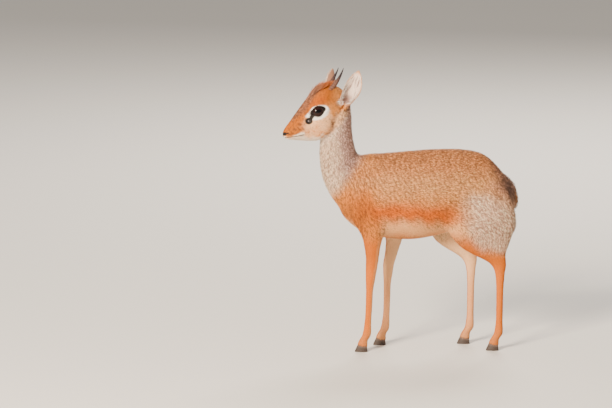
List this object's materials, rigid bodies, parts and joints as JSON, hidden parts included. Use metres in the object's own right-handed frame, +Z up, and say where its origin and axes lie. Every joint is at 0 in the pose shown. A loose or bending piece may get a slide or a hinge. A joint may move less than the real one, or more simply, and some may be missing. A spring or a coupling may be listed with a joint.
{
  "type": "dik dik",
  "caption": "Life-size still model of a male dik-dik standing on its hooves, head turned a little to its left, ears raised, with short ringed horns.",
  "frame": {"origin": "middle of the bounding box on the floor, under the belly", "axes": "+Z up, -X towards the head, -Y towards the animal's left side"},
  "size_m": [0.4638, 0.1348, 0.5531],
  "materials": {
    "head_coat": "short soft fur, rust orange with pale cheeks",
    "neck_coat": "short soft fur, grizzled grey-brown",
    "body_coat": "short soft fur, grizzled brown and grey",
    "leg_coat": "very short fur, orange tan",
    "ear_coat": "very short fur, tawny outside and white inside",
    "eye": "wet, glossy and almost black",
    "horn": "ringed horn, grey-brown to dark",
    "hoof": "dark horn, slightly polished"
  },
  "bodies": {
    "root": {"head": "head_coat", "neck": "neck_coat", "torso": "body_coat", "tail": "body_coat", "ear_left": "ear_coat", "eye_left": "eye", "horn_left": "horn", "fore_upper_left": "leg_coat", "fore_lower_left": "leg_coat", "hind_upper_left": "leg_coat", "hind_lower_left": "leg_coat", "fore_hoof_left_outer": "hoof", "fore_hoof_left_inner": "hoof", "hind_hoof_left_outer": "hoof", "hind_hoof_left_inner": "hoof", "ear_right": "ear_coat", "eye_right": "eye", "horn_right": "horn", "fore_upper_right": "leg_coat", "fore_lower_right": "leg_coat", "hind_upper_right": "leg_coat", "hind_lower_right": "leg_coat", "fore_hoof_right_outer": "hoof", "fore_hoof_right_inner": "hoof", "hind_hoof_right_outer": "hoof", "hind_hoof_right_inner": "hoof"}
  },
  "joints": []
}
